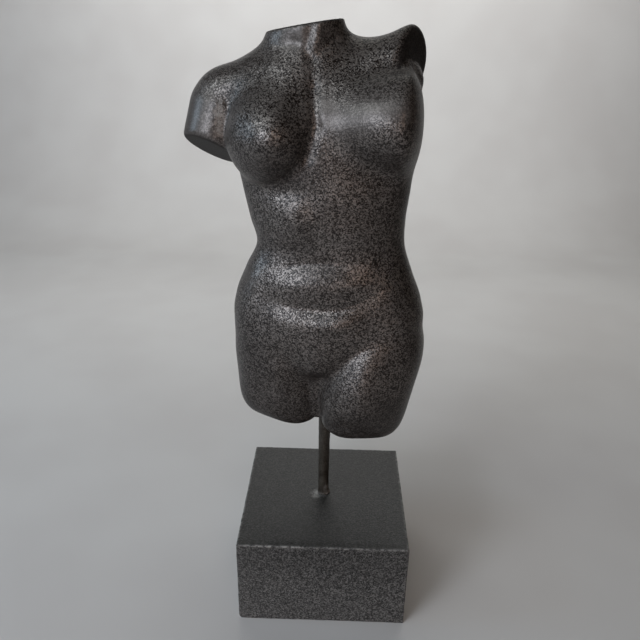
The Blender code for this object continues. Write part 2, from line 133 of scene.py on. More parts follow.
def through(at, values, x):
    """A smooth curve through the values, read at x."""
    at = np.asarray(at, float)
    values = np.asarray(values, float)
    h = np.diff(at)
    d = np.diff(values) / h
    m = np.empty(len(values))
    m[1:-1] = (d[:-1] * h[1:] + d[1:] * h[:-1]) / (h[:-1] + h[1:])
    m[0], m[-1] = d[0], d[-1]
    xc = np.clip(x, at[0], at[-1])
    i = np.clip(np.searchsorted(at, xc, side="right") - 1, 0, len(h) - 1)
    t = (xc - at[i]) / h[i]
    t2 = t * t
    t3 = t2 * t
    return (
        (2 * t3 - 3 * t2 + 1) * values[i]
        + (t3 - 2 * t2 + t) * h[i] * m[i]
        + (3 * t2 - 2 * t3) * values[i + 1]
        + (t3 - t2) * h[i] * m[i + 1]
    )


def lofted(p, stations):
    """A body whose sections, squared ellipses, follow the stations."""
    st = np.array(stations, float)
    x, y, z = p
    h = z - through(TILT_HEIGHTS, TILT_RISE, z) * (x + 8.0)
    cx, cy, a, front, behind, n = (through(st[:, 0], st[:, k], h) for k in range(1, 7))
    u = x - cx
    v = y - cy
    d = np.where(v < 0, front, behind)
    r = (np.abs(u / a) ** n + np.abs(v / d) ** n) ** (1 / n) + 1e-9
    return (np.sqrt(u * u + v * v) + 1e-9) * (1 - 1 / r)


def ellipsoid(p, centre, radii):
    x, y, z = (p[k] - centre[k] for k in range(3))
    a, b, c = radii
    r = np.sqrt((x / a) ** 2 + (y / b) ** 2 + (z / c) ** 2) + 1e-9
    g = np.sqrt((x / a**2) ** 2 + (y / b**2) ** 2 + (z / c**2) ** 2) + 1e-9
    return r * (r - 1) / g


def round_cone(p, a, b, ra, rb):
    """The hull of a ball at a and a ball at b."""
    a = np.array(a, float)
    b = np.array(b, float)
    ba = b - a
    l2 = ba @ ba
    rr = ra - rb
    a2 = l2 - rr * rr
    x, y, z = (p[k] - a[k] for k in range(3))
    t = x * ba[0] + y * ba[1] + z * ba[2]
    s = t - l2
    x2 = np.maximum((x * x + y * y + z * z) * l2 - t * t, 0) * l2
    k = np.sign(rr) * rr * rr * x2
    return np.where(
        np.sign(s) * a2 * s * s * l2 > k,
        np.sqrt(x2 + s * s * l2) / l2 - rb,
        np.where(
            np.sign(t) * a2 * t * t * l2 < k,
            np.sqrt(x2 + t * t * l2) / l2 - ra,
            (np.sqrt(x2 * a2 / l2) + t * rr) / l2 - ra,
        ),
    )


def swelling(p, centre, radii):
    return np.exp(-sum(((p[k] - centre[k]) / radii[k]) ** 2 for k in range(3)))


def line(p, a, b, width):
    """1 along the line from a to b, falling to 0 over the width."""
    a = np.array(a, float)
    ba = np.array(b, float) - a
    x, y, z = (p[k] - a[k] for k in range(3))
    t = np.clip((x * ba[0] + y * ba[1] + z * ba[2]) / (ba @ ba), 0, 1)
    return np.exp(-((x - t * ba[0]) ** 2 + (y - t * ba[1]) ** 2 + (z - t * ba[2]) ** 2) / width**2)


def beyond(p, cut):
    """Height above a cut's plane: positive on the side that is cut away."""
    n = np.array(cut[1], float)
    n /= np.sqrt(n @ n)
    return sum((p[k] - cut[0][k]) * n[k] for k in range(3))


def figure_upright(q, cuts):
    x, y, z = q
    f = lofted(q, TRUNK_STATIONS)
    f = soft_max(f, 136.5 - z, 10)
    f = soft_max(f, z - 306, 6)
    # breasts: the lowered side hangs with a crisp lower edge, the raised
    # side is drawn up and blends into the ribs
    low = ellipsoid(q, (-24.6, -9.2, 250.6), (21.4, 20.6, 22.2))
    low = soft_min(low, ellipsoid(q, (-22.0, -21.5, 253.0), (11.5, 11.8, 12.0)), 10)
    low = soft_min(low, round_cone(q, (-22.5, -8.5, 257.0), (-18.0, -3.5, 270.0), 18.5, 14.5), 7)
    low = soft_min(low, round_cone(q, (-35.4, -3.6, 250.0), (-33.0, -0.4, 272.0), 12.6, 11.6), 9)
    wide = (
        25.5 + 1.3 * (x - 34) + 0.8 * np.sqrt((x - 34) ** 2 + 4),
        y,
        259 + 0.94 * (z - 259) - 0.06 * np.sqrt((z - 259) ** 2 + 25) + 0.25,
    )
    high = ellipsoid(wide, (25.0, -6.6, 259.0), (16.4, 22.4, 19.6))
    up = step(246, 266, z)
    f = soft_min(f, low, 3.2 + 10 * up)
    f = soft_min(f, high, (3 + 8 * step(-6, 12, x) + 7 * step(22, 38, x)) * (1 - up) + 11 * up)
    # the valley between them, from the notch down to the ribs
    f = f + 0.8 * line(q, (-6.9, -12.4, 284), (-5.6, -17, 272.6), 2.6)
    f = f + 1.3 * line(q, (-5.6, -17, 272.6), (-3.6, -22.6, 258), 2.3)
    f = f + 1.0 * line(q, (-3.6, -22.6, 258), (-6.9, -22.9, 245), 2.3)
    # the raised breast's upper edge
    f = f + 0.3 * line(q, (-1, -19, 274.8), (15, -22.5, 274.2), 3.4)
    f = f + 0.3 * line(q, (15, -22.5, 274.2), (31, -22, 270.8), 3.4)
    f = f + 0.9 * line(q, (-9.5, -22, 280), (-9.5, -24, 270), 6.0)
    # shoulders and arm stumps
    f = soft_min(f, round_cone(q, (-20, 7, 286.6), (-45, 6, 269.4), 10.4, 10.0), 11)
    f = soft_min(f, round_cone(q, (-6, 7, 287), (18, 6, 280), 9.0, 12.0), 12)
    f = soft_min(f, round_cone(q, (-22, -1.5, 277), (-47, 2, 268.5), 10, 10.4), 10)
    arm = round_cone(q, (-51.5, 4.5, 261.5), (-59.5, -1.5, 238), 17.0, 13.8)
    arm = soft_max(arm, beyond(q, LOWERED_ARM_CUT), 3)
    f = soft_min(f, arm, 1.6 + 12 * step(264, 278, z))
    stump = round_cone(q, (16, 6, 274.5), (38, 6, 288.0), 14.0, 12.9)
    stump = soft_max(stump, beyond(q, RAISED_ARM_CUT), 7)
    f = soft_min(f, stump, 4 + 7 * step(266, 286, z))
    f = soft_min(f, round_cone(q, (25, 6, 262), (33.5, 5, 276), 8.0, 6.0), 6)
    f = f + 0.5 * line(q, (24, -9, 283), (38, -1, 276), 4.5)
    # neck: a flat to the left of the notch, a tendon on its right, the pit
    neck = round_cone(q, (-16.5, 6.0, 276), (-16.4, 3.6, 305), 14.2, 12.4)
    neck = soft_min(neck, round_cone(q, (-8.5, 3.0, 276), (-9.0, 0.4, 305), 13.0, 12.0), 8)
    f = soft_min(f, neck, 10)
    f = f + 0.35 * line(q, (-23, -8.8, 289.1), (-14.5, -11.3, 290.7), 2.5)
    f = f + 0.35 * line(q, (-14.5, -11.3, 290.7), (-7.8, -11.7, 287.0), 2.5)
    f = f + 0.6 * line(q, (-9.4, -11.4, 288.5), (-7.6, -10.6, 299), 2.2)
    f = f - 0.9 * line(q, (-6.6, -11.4, 288.0), (-3.4, -10.3, 300), 2.4)
    f = f + 0.7 * line(q, (-4.2, -11.0, 288.5), (1.7, -6.6, 292.6), 2.0)
    f = f + 0.8 * swelling(q, (-7.4, -12.0, 285.6), (2.8, 3.2, 2.6))
    f = f - 0.3 * line(q, (-13, -19, 283), (-26, -15.5, 283.5), 3.4)
    if cuts:
        f = soft_max(f, beyond(q, NECK_CUT), 1.6)
    # thighs, touching along one crease, their ends rounder on the outside
    legs = []
    for stations, end, outer in (
        (LEFT_THIGH_STATIONS, LEFT_THIGH_END, step(10, 34, -x)),
        (RIGHT_THIGH_STATIONS, RIGHT_THIGH_END, step(8, 30, x)),
    ):
        leg = soft_max(lofted(q, stations), z - 170, 26)
        legs.append(soft_max(leg, beyond(q, end), 6 + 13 * outer))
    legs = soft_min(legs[0], legs[1], 2.6)
    web = round_cone(q, (-2.6, -2.5, 110), (-2.0, -4, 140), 11.5, 13.5)
    legs = soft_min(legs, soft_max(web, beyond(q, LEFT_THIGH_END) + 4, 4), 2.0)
    beside = np.maximum(step(20, 42, np.abs(x + 1)), step(-8, 10, y))
    f = soft_min(f, legs, 4 + 6 * step(-2, 8, -x) + 11 * beside)
    seat = soft_min(
        ellipsoid(q, (-23.5, 12, 143), (22.5, 21, 24)),
        ellipsoid(q, (23, 12, 142), (22.5, 21, 24)),
        2.5,
    )
    f = soft_min(f, seat, 13)
    # rib arch and the two folds of the belly: the front stands out by the
    # amounts of FRONT_STANDS, between creases that curve across the body
    front = step(-2, 10, -y)
    crease = 196.5 - 0.0062 * (x - 7) ** 2
    lower = 173.5 + np.where(x < -1, 0.0035, 0.0122) * (x + 1) ** 2
    between = step(180, 194, z)
    h = z - (1 - between) * (lower - 176.0) - between * (crease - 197.5)
    stands = through(FRONT_HEIGHTS, FRONT_STANDS, h)
    f = f - stands * front * np.exp(-(((x + 3) / (25 - 6 * step(178, 188, z) * step(-10, 2, -x))) ** 4))
    f = f + 0.45 * front * np.exp(-(((z - crease - 0.6) / 1.5) ** 2) - ((x + 1) / 17) ** 4)
    f = f + 0.50 * front * np.exp(-(((z - lower - 0.8) / 1.7) ** 2) - ((x - 3) / 24) ** 4)
    f = f - 1.9 * swelling(q, (-15, -24, 217.5), (12, 14, 8.0)) * front
    f = f - 1.0 * swelling(q, (7, -25, 168.5), (9, 14, 5.5)) * front
    f = f + 1.0 * swelling(q, (-19, -26, 229), (12, 12, 4.0)) * front
    f = f + 0.4 * front * np.exp(-(((x + 5) / 4.0) ** 2)) * step(204, 212, z) * step(-232, -222, -z)
    f = f - 1.1 * line(q, (31, -15, 183), (35, -14, 170), 8.0)
    f = f - 1.0 * line(q, (-35, -17, 185), (-37, -16, 172), 7.0)
    f = f + 0.7 * line(q, (30, -15, 196), (18.6, -21, 169), 6.5)
    # the near thigh stands out below the line of the groin, the other less
    across = np.clip(x, 0, 32)
    below = (135.5 + 1.28 * across - 0.0175 * across**2 + 0.6 * np.minimum(x, 0) - z) * 0.75
    below = 0.5 * (below + np.sqrt(below * below + 0.8))
    reach = step(-2.5, 2.0, x) * step(-38, -20, -x) * step(102, 124, z)
    f = f - 4.8 * front * reach * (1 - np.exp(-below / 7.5))
    below = (135.5 - 0.84 * (x + 2.0) - z) * 0.76
    below = 0.5 * (below + np.sqrt(below * below + 2.5))
    reach = step(0.0, 4.0, -x) * step(-34, -20, x) * step(104, 126, z)
    f = f - 1.3 * front * reach * (1 - np.exp(-below / 6.0))
    # back: spine, the ridges beside it, shoulder blades and dimples
    back = step(4, 14, y)
    spine = through((140, 200, 250, 290), (-1, 0.5, -4, -12), z)
    f = f + 1.9 * back * np.exp(-(((x - spine) / 4.5) ** 2)) * step(158, 175, z) * step(-290, -268, -z)
    for side in (-11, 11):
        f = f - 0.9 * back * np.exp(-(((x - spine - side) / 6.5) ** 2)) * step(168, 182, z) * step(-236, -214, -z)
    f = f - 2.2 * swelling(q, (-30, 26, 259), (11, 14, 15)) - 2.2 * swelling(q, (17, 26, 263), (12, 14, 14))
    f = f + 0.9 * line(q, (-17, 30, 268), (-24, 29, 246), 4.0) + 0.9 * line(q, (6, 30, 270), (13, 29, 248), 4.0)
    f = f + 0.8 * (swelling(q, (-12, 26, 172), (4.5, 10, 4.5)) + swelling(q, (12, 26, 172), (4.5, 10, 4.5)))
    return f


def figure(p, cuts=True):
    """The field of the turned figure, at p = (x, y, z)."""
    c = math.cos(math.radians(FIGURE_TURN))
    s = math.sin(math.radians(FIGURE_TURN))
    return figure_upright((p[0] * c - p[1] * s, p[0] * s + p[1] * c, p[2]), cuts)


# ---------------------------------------------------------------- its surface
def values(field, points):
    """The field at the points, worked out a few thousand at a time."""
    parts = np.array_split(np.asarray(points, float), max(1, len(points) // 20000))
    with ThreadPoolExecutor(4) as pool:
        return np.concatenate(list(pool.map(lambda part: field(part.T), parts)))


def surface(field, low, high, cell):
    """A closed skin of quads round the field's inside: one point in each cell
    that the surface passes through.  A grid four cells wide says where."""
    n = [4 * int(math.ceil((high[k] - low[k]) / cell / 4)) + 1 for k in range(3)]
    axes = [low[k] + cell * np.arange(n[k]) for k in range(3)]
    wide = np.stack(np.meshgrid(*(a[::4] for a in axes), indexing="ij"), -1)
    coarse = values(field, wide.reshape(-1, 3)).reshape(wide.shape[:3])
    lowest = highest = closest = None
    for i in (0, 1):
        for j in (0, 1):
            for k in (0, 1):
                c = coarse[i : coarse.shape[0] - 1 + i, j : coarse.shape[1] - 1 + j, k : coarse.shape[2] - 1 + k]
                lowest = c if lowest is None else np.minimum(lowest, c)
                highest = c if highest is None else np.maximum(highest, c)
                closest = np.abs(c) if closest is None else np.minimum(closest, np.abs(c))
    near = (closest < 4.9 * cell) | ((lowest < 0) & (highest >= 0))
    value = coarse
    wanted = near
    for axis in range(3):
        value = np.repeat(value, 4, axis=axis)
        value = np.take(value, np.arange(n[axis]), axis=axis)
        wanted = np.repeat(wanted, 4, axis=axis)
        wanted = np.concatenate([wanted, np.take(wanted, [-1], axis=axis)], axis=axis)
    for axis in range(3):
        back = np.roll(wanted, 1, axis=axis)
        edge = [slice(None)] * 3
        edge[axis] = 0
        back[tuple(edge)] = False
        wanted = wanted | (back & (np.arange(n[axis]) % 4 == 0).reshape([-1 if k == axis else 1 for k in range(3)]))
    spots = np.argwhere(wanted)
    value[tuple(spots.T)] = values(field, np.array(low) + cell * spots)
    inside = value < 0
    corners = np.zeros([k - 1 for k in n], int)
    for i in (0, 1):
        for j in (0, 1):
            for k in (0, 1):
                corners += inside[i : n[0] - 1 + i, j : n[1] - 1 + j, k : n[2] - 1 + k]
    active = (corners > 0) & (corners < 8)
    number = np.full(active.shape, -1)
    number[active] = np.arange(active.sum())
    cells = np.argwhere(active)
    total = np.zeros((len(cells), 3))
    count = np.zeros(len(cells))
    for axis in range(3):
        others = [k for k in range(3) if k != axis]
        for i in (0, 1):
            for j in (0, 1):
                start = cells.copy()
                start[:, others[0]] += i
                start[:, others[1]] += j
                end = start.copy()
                end[:, axis] += 1
                v0 = value[tuple(start.T)]
                v1 = value[tuple(end.T)]
                crosses = (v0 < 0) != (v1 < 0)
                point = start.astype(float)
                point[:, axis] += np.where(crosses, v0 / np.where(crosses, v0 - v1, 1), 0)
                total[crosses] += point[crosses]
                count += crosses
    points = np.array(low) + cell * total / count[:, None]
    quads = []
    for axis in range(3):
        b, c = ((1, 2), (2, 0), (0, 1))[axis]
        first = [slice(None)] * 3
        second = [slice(None)] * 3
        first[axis] = slice(0, n[axis] - 1)
        second[axis] = slice(1, n[axis])
        starts = inside[tuple(first)]
        edges = np.argwhere(starts != inside[tuple(second)])

        def around(i, j):
            cell_of = edges.copy()
            cell_of[:, b] += i
            cell_of[:, c] += j
            return number[tuple(cell_of.T)]

        quad = np.stack([around(-1, -1), around(0, -1), around(0, 0), around(-1, 0)], 1)
        outward = starts[tuple(edges.T)]
        quad[~outward] = quad[~outward][:, ::-1]
        quads.append(quad)
    return points, np.concatenate(quads)


def slope(field, points, e=0.05):
    g = np.empty_like(points)
    for k in range(3):
        a = points.copy()
        b = points.copy()
        a[:, k] += e
        b[:, k] -= e
        g[:, k] = (values(field, a) - values(field, b)) / (2 * e)
    return g


def drawn_on(field, points, rounds=3, turns=2):
    """The points moved onto the surface, along the field's slope."""
    points = points.copy()
    for _ in range(turns):
        g = slope(field, points)
        steep = np.sqrt((g * g).sum(1)) + 1e-9
        g /= steep[:, None]
        for _ in range(rounds):
            move = np.clip(values(field, points) / np.maximum(steep, 0.5), -0.8, 0.8)
            points -= move[:, None] * g
    return points


# ---------------------------------------------------------------- noise
def lattice(ix, iy, iz, seed):
    """A fixed value from 0 to 1 for every whole-number point."""
    h = (ix * 73856093) ^ (iy * 19349663) ^ (iz * 83492791) ^ (seed * 2654435761)
    h = (h ^ (h >> 13)) * 1274126177 & 0x7FFFFFFF
    h = (h ^ (h >> 16)) * 668265263 & 0x7FFFFFFF
    return (h & 0xFFFFF) / 1048575.0


def noise(p, scale, seed=1):
    """Smooth noise from -1 to 1 over cells of that size, in mm."""
    q = np.stack([np.asarray(c, float) / scale for c in p])
    i = np.floor(q).astype(np.int64)
    t = q - i
    t = t * t * (3 - 2 * t)
    total = 0.0
    for a in (0, 1):
        for b in (0, 1):
            for c in (0, 1):
                w = (t[0] if a else 1 - t[0]) * (t[1] if b else 1 - t[1]) * (t[2] if c else 1 - t[2])
                total = total + w * lattice(i[0] + a, i[1] + b, i[2] + c, seed)
    return 2 * total - 1


# ---------------------------------------------------------------- meshes
def object_of(name, points_mm, faces, marks=None):
    mesh = bpy.data.meshes.new(name)
    points = np.asarray(points_mm, float) * MM
    mesh.from_pydata(points.tolist(), [], [list(map(int, f)) for f in faces])
    mesh.update()
    mesh.shade_smooth()
    for key, values in (marks or {}).items():
        mark = mesh.attributes.new(key, "FLOAT", "POINT")
        mark.data.foreach_set("value", np.asarray(values, np.float32))
    obj = bpy.data.objects.new(name, mesh)
    bpy.context.scene.collection.objects.link(obj)
    return obj


# ---------------------------------------------------------------- materials
class Nodes:
    """A few words for building a shader tree."""

    def __init__(self, name):
        self.material = bpy.data.materials.new(name)
        self.material.use_nodes = True
        self.tree = self.material.node_tree
        self.tree.nodes.clear()
        self.out = self.add("ShaderNodeOutputMaterial")
        self.shader = self.add("ShaderNodeBsdfPrincipled")
        self.link(self.shader.outputs["BSDF"], self.out.inputs["Surface"])
        self.where = self.add("ShaderNodeTexCoord").outputs["Object"]

    def add(self, kind, **values):
        node = self.tree.nodes.new(kind)
        for key, value in values.items():
            setattr(node, key, value)
        return node

    def link(self, a, b):
        self.tree.links.new(a, b)

    def put(self, socket, value):
        if isinstance(value, bpy.types.NodeSocket):
            self.link(value, socket)
        else:
            socket.default_value = value

    def noise(self, scale, detail=3.0, rough=0.55, where=None, distortion=0.0):
        node = self.add("ShaderNodeTexNoise", noise_dimensions="3D")
        self.link(where or self.where, node.inputs["Vector"])
        node.inputs["Scale"].default_value = scale
        node.inputs["Detail"].default_value = detail
        node.inputs["Roughness"].default_value = rough
        node.inputs["Distortion"].default_value = distortion
        return node.outputs["Fac"]

    def cells(self, scale, output="Distance", feature="F1", randomness=1.0):
        node = self.add("ShaderNodeTexVoronoi", voronoi_dimensions="3D", feature=feature)
        self.link(self.where, node.inputs["Vector"])
        node.inputs["Scale"].default_value = scale
        node.inputs["Randomness"].default_value = randomness
        return node.outputs[output]

    def grains(self, scale):
        """A chance value for every grain, 0 to 1."""
        node = self.add("ShaderNodeSeparateColor")
        self.link(self.cells(scale, "Color"), node.inputs[0])
        return node.outputs[0]

    def span(self, value, a, b, c=0.0, d=1.0, smooth=True):
        node = self.add("ShaderNodeMapRange")
        node.interpolation_type = "SMOOTHSTEP" if smooth else "LINEAR"
        self.put(node.inputs["Value"], value)
        for key, number in zip(("From Min", "From Max", "To Min", "To Max"), (a, b, c, d)):
            node.inputs[key].default_value = number
        return node.outputs["Result"]

    def math(self, what, a, b=0.0, c=0.0, clamp=False):
        node = self.add("ShaderNodeMath", operation=what, use_clamp=clamp)
        for socket, value in zip(node.inputs, (a, b, c)):
            self.put(socket, value)
        return node.outputs[0]

    def mix(self, factor, a, b, blend="MIX"):
        node = self.add("ShaderNodeMix", data_type="RGBA", blend_type=blend)
        self.put(node.inputs[0], factor)
        for socket, value in ((node.inputs[6], a), (node.inputs[7], b)):
            self.put(socket, (*value, 1.0) if isinstance(value, tuple) else value)
        return node.outputs[2]

    def part_of(self, vector, axis):
        node = self.add("ShaderNodeSeparateXYZ")
        self.link(vector, node.inputs[0])
        return node.outputs[axis]

    def facing_up(self):
        """-1 under the piece, 0 on its upright sides, 1 on top."""
        return self.part_of(self.add("ShaderNodeNewGeometry").outputs["Normal"], 2)

    def mark(self, key):
        return self.add("ShaderNodeAttribute", attribute_name=key).outputs["Fac"]

    def bump(self, height, distance, strength=1.0, under=None):
        node = self.add("ShaderNodeBump")
        node.inputs["Strength"].default_value = strength
        node.inputs["Distance"].default_value = distance
        self.put(node.inputs["Height"], height)
        if under is not None:
            self.link(under, node.inputs["Normal"])
        return node.outputs["Normal"]

    def set(self, **values):
        for key, value in values.items():
            self.put(self.shader.inputs[key.replace("_", " ")], value)
        return self.material


def figure_finish():
    """Cast stone powder, black, with a fine light grain and a satin wax."""
    n = Nodes("figure_finish")
    grain = n.span(n.grains(1620), 0.38, 1.0)
    fine = n.span(n.grains(2500), 0.60, 1.0)
    patches = n.span(n.noise(62, 3.0, 0.55), 0.30, 0.70, 0.65, 1.10)
    light = n.math("MULTIPLY", n.math("MAXIMUM", grain, n.math("MULTIPLY", fine, 0.8)), patches, clamp=True)
    rubbed = n.mark("rubbed")
    light = n.math("ADD", n.math("MULTIPLY", light, n.span(rubbed, 0.0, 1.0, 1.0, 0.25)), n.math("MULTIPLY", rubbed, 0.33), clamp=True)
    # painted light and shade: the grain is made stronger or fainter in the listed places (tone), lighter on faces
    # turned up, fainter on faces turned down and below overhangs, fainter down the thighs and fainter on the cut ends
    light = n.math("MULTIPLY", light, n.mark("tone"), clamp=True)
    light = n.math("MULTIPLY", light, n.span(n.facing_up(), -0.75, 0.55, 0.50, 1.20))
    light = n.math("MULTIPLY", light, n.span(n.part_of(n.where, 2), 0.100, 0.185, 0.48, 1.0))
    light = n.math("MULTIPLY", light, n.span(n.mark("cut"), 0.0, 1.0, 1.0, 0.35), clamp=True)
    ground = n.mix(n.span(n.noise(34, 2.0), 0.3, 0.7), (0.0060, 0.0036, 0.0026), (0.0090, 0.0062, 0.0050))
    colour = n.mix(light, ground, (0.272, 0.252, 0.237))
    # painted shade: the cut ends are painted darker still
    colour = n.mix(n.math("MULTIPLY", n.mark("cut"), 0.6), colour, (0.003, 0.002, 0.0015))
    wear = n.mark("wear")
    broken = n.math("MULTIPLY", wear, n.span(n.noise(900, 3.0, 0.7), 0.36, 0.58), clamp=True)
    colour = n.mix(broken, colour, (0.30, 0.285, 0.265))
    rough = n.math("SUBTRACT", n.span(light, 0.0, 1.0, 0.35, 0.45), n.math("MULTIPLY", rubbed, 0.03))
    rough = n.math("ADD", rough, n.math("MULTIPLY", n.mark("cut"), 0.30), clamp=True)
    rough = n.math("MAXIMUM", rough, n.math("MULTIPLY", broken, 0.8), clamp=True)
    waves = n.noise(95, 2.0, 0.5)
    normal = n.bump(waves, 0.00035, 0.35)
    normal = n.bump(n.math("MULTIPLY", n.noise(1350, 1.0, 0.5), n.span(rubbed, 0.0, 1.0, 1.0, 0.3)), 0.00024, 0.8, normal)
    n.shader.inputs["Specular IOR Level"].default_value = 0.32
    n.shader.inputs["IOR"].default_value = 1.5
    glint = n.math("MULTIPLY", n.math("MULTIPLY", light, 0.88), n.math("SUBTRACT", 1.0, broken), clamp=True)
    return n.set(Base_Color=colour, Roughness=rough, Normal=normal, Metallic=glint)


def block_finish():
    """The same stone powder left greyer: salt and pepper on the sides, paler towards
    their foot and towards -x, with fainter grain towards their top; on top rubbed
    smoother, its grain painted darker there as shade; pale where the edges are worn."""
    n = Nodes("block_finish")
    top = n.mark("top")
    grain = n.span(n.grains(1560), 0.30, 1.0)
    fine = n.span(n.grains(2400), 0.45, 1.0)
    salt = n.math("ADD", n.math("MULTIPLY", grain, 0.65), n.math("MULTIPLY", fine, 0.35), clamp=True)
    # the grain on the sides is fainter towards their top
    fainter_grain_upward = n.span(n.part_of(n.where, 2), 0.018, 0.050, 0.98, 0.66)
    side = n.mix(n.math("MULTIPLY", salt, fainter_grain_upward), (0.006, 0.0058, 0.0055), (0.238, 0.235, 0.228))
    # the sides are paler towards their foot and towards -x
    paler_low_and_left = n.math("MULTIPLY", n.span(n.part_of(n.where, 2), 0.0, 0.040, 0.22, 0.0), n.span(n.noise(60, 2.0), 0.3, 0.7, 0.4, 1.0))
    paler_low_and_left = n.math("ADD", paler_low_and_left, n.span(n.part_of(n.where, 0), -0.045, 0.0, 0.16, 0.0), clamp=True)
    side = n.mix(n.math("MULTIPLY", paler_low_and_left, 0.5), side, (0.155, 0.153, 0.148))
    clouds = n.span(n.noise(38, 3.0, 0.6), 0.32, 0.70)
    # painted shade: on top the same grain in much darker colours than on the sides
    above = n.mix(salt, (0.002, 0.0022, 0.0021), (0.050, 0.051, 0.048))
    above = n.mix(n.math("MULTIPLY", clouds, 0.28), above, (0.030, 0.029, 0.027))
    colour = n.mix(top, side, above)
    wear = n.mark("wear")
    rubbed = n.math("MULTIPLY", wear, n.span(n.noise(520, 3.0, 0.65), 0.34, 0.60), clamp=True)
    colour = n.mix(rubbed, colour, (0.36, 0.355, 0.34))
    rough = n.mix(top, (0.62, 0.62, 0.62), (0.46, 0.46, 0.46))
    rough = n.math("ADD", rough, n.span(n.noise(900, 2.0), 0.3, 0.7, -0.06, 0.06), clamp=True)
    pits = n.span(n.noise(1400, 2.0, 0.6), 0.25, 0.75)
    normal = n.bump(n.noise(120, 2.0, 0.5), 0.0003, 0.3)
    normal = n.bump(pits, 0.00014, 0.6, normal)
    return n.set(Base_Color=colour, Roughness=rough, Normal=normal)


def rod_finish():
    """Dark brown-black paint on steel, dusty and thin at the foot."""
    n = Nodes("rod_finish")
    blotch = n.span(n.noise(260, 4.0, 0.65), 0.35, 0.68)
    colour = n.mix(blotch, (0.020, 0.015, 0.010), (0.052, 0.046, 0.036))
    specks = n.span(n.noise(1500, 2.0, 0.6), 0.55, 0.75)
    colour = n.mix(n.math("MULTIPLY", specks, 0.5), colour, (0.16, 0.15, 0.13))
    wear = n.math("MULTIPLY", n.mark("wear"), n.span(n.noise(700, 3.0, 0.65), 0.32, 0.55), clamp=True)
    colour = n.mix(wear, colour, (0.34, 0.33, 0.31))
    rough = n.span(blotch, 0.0, 1.0, 0.34, 0.55)
    normal = n.bump(n.noise(420, 3.0, 0.6), 0.0003, 0.5)
    return n.set(Base_Color=colour, Roughness=rough, Metallic=0.15, Normal=normal)


def floor_finish():
    n = Nodes("floor_finish")
    tone = n.mix(n.span(n.noise(9.0, 2.0), 0.3, 0.7), (0.62, 0.61, 0.60), (0.66, 0.655, 0.645))
    return n.set(Base_Color=tone, Roughness=0.75)


# ---------------------------------------------------------------- figure
def make_figure():
    low, high = (-75.0, -42.0, 96.0), (56.0, 46.0, 306.0)
    points, quads = surface(figure, low, high, SKIN_CELL)
    points = drawn_on(figure, points, 3, 2)
    p = points.T
    # a small loss on the outside of the lowered arm, close to the chest
    c, s = math.cos(math.radians(FIGURE_TURN)), math.sin(math.radians(FIGURE_TURN))
    upright = np.stack([p[0] * c - p[1] * s, p[0] * s + p[1] * c, p[2]])
    chip = swelling(upright, ARM_CHIP, (2.3, 6, 8.5)) + 0.5 * noise(p, 1.8, 5)
    wear = np.clip((chip - 0.45) * 2.2, 0, 0.8)
    cut = np.zeros(len(points))
    for plane, reach in ((NECK_CUT, 23.0), (LOWERED_ARM_CUT, 16.5), (RAISED_ARM_CUT, 17.5)):
        near = sum((upright[k] - plane[0][k]) ** 2 for k in range(3)) < reach**2
        cut = np.maximum(cut, step(-0.6, -0.1, beyond(upright, plane)) * (np.abs(beyond(upright, plane)) < 1.0) * near)
    slopes = slope(figure, points)
    slopes /= np.linalg.norm(slopes, axis=1)[:, None] + 1e-9
    points -= slopes * (0.25 * wear + 0.05 * noise(p, 2.2, 11) * wear)[:, None]
    rubbed = 0.0
    for place, size in RUBBED:
        rubbed = rubbed + swelling(upright, place, size)
    rubbed = np.clip(rubbed + 0.15 * noise(p, 5.0, 13), 0, 1)
    # painted light and shade, as a factor on the grain
    tone = 1.0
    for place, size, amount in PAINTED_LIGHT_AND_SHADE:
        tone = tone + amount * swelling(upright, place, size)
    marks = {"wear": wear, "cut": cut, "rubbed": rubbed, "tone": np.clip(tone, 0.3, 1.6)}
    obj = object_of("torso_skin", points, quads, marks)
    obj.data.materials.append(figure_finish())
    return obj


ARM_CHIP = (-49.3, -12.0, 259.0)
# where hands have rubbed the skin smooth: place and reach
RUBBED = (
    ((-60.0, -6.0, 257.0), (15.0, 22.0, 16.0)),
    ((-17.0, -14.0, 293.5), (14.0, 12.0, 7.5)),
    ((10.0, -26.0, 262.0), (11.0, 9.0, 8.0)),
    ((28.5, -24.0, 266.0), (11.0, 10.0, 5.5)),
    ((-40.0, -18.0, 187.0), (7.0, 12.0, 9.0)),
    ((0.5, -21.0, 264.0), (4.0, 6.0, 8.0)),
)

# painted light and shade: where the grain is made stronger, standing for light, or fainter, standing for shade: place,
# reach and how much
PAINTED_LIGHT_AND_SHADE = (
    ((-37.0, -7.0, 276.5), (11.0, 12.0, 6.5), -0.35),
    ((-36.0, -19.0, 265.0), (8.0, 9.0, 7.0), 0.45),
    ((-9.0, -24.0, 250.0), (6.0, 9.0, 15.0), -0.40),
    ((-18.0, -24.0, 237.0), (13.0, 11.0, 6.0), -0.25),
    ((-36.0, -16.0, 146.0), (14.0, 16.0, 22.0), -0.25),
    ((37.0, -8.0, 226.0), (9.0, 15.0, 22.0), -0.30),
    ((20.0, -24.0, 147.0), (9.0, 10.0, 12.0), 0.35),
    ((38.0, -10.0, 262.0), (6.0, 12.0, 14.0), -0.35),
)

# ---------------------------------------------------------------- block
BLOCK_SIDE = 90.0
BLOCK_HEIGHT = 51.0
EDGE = 0.85
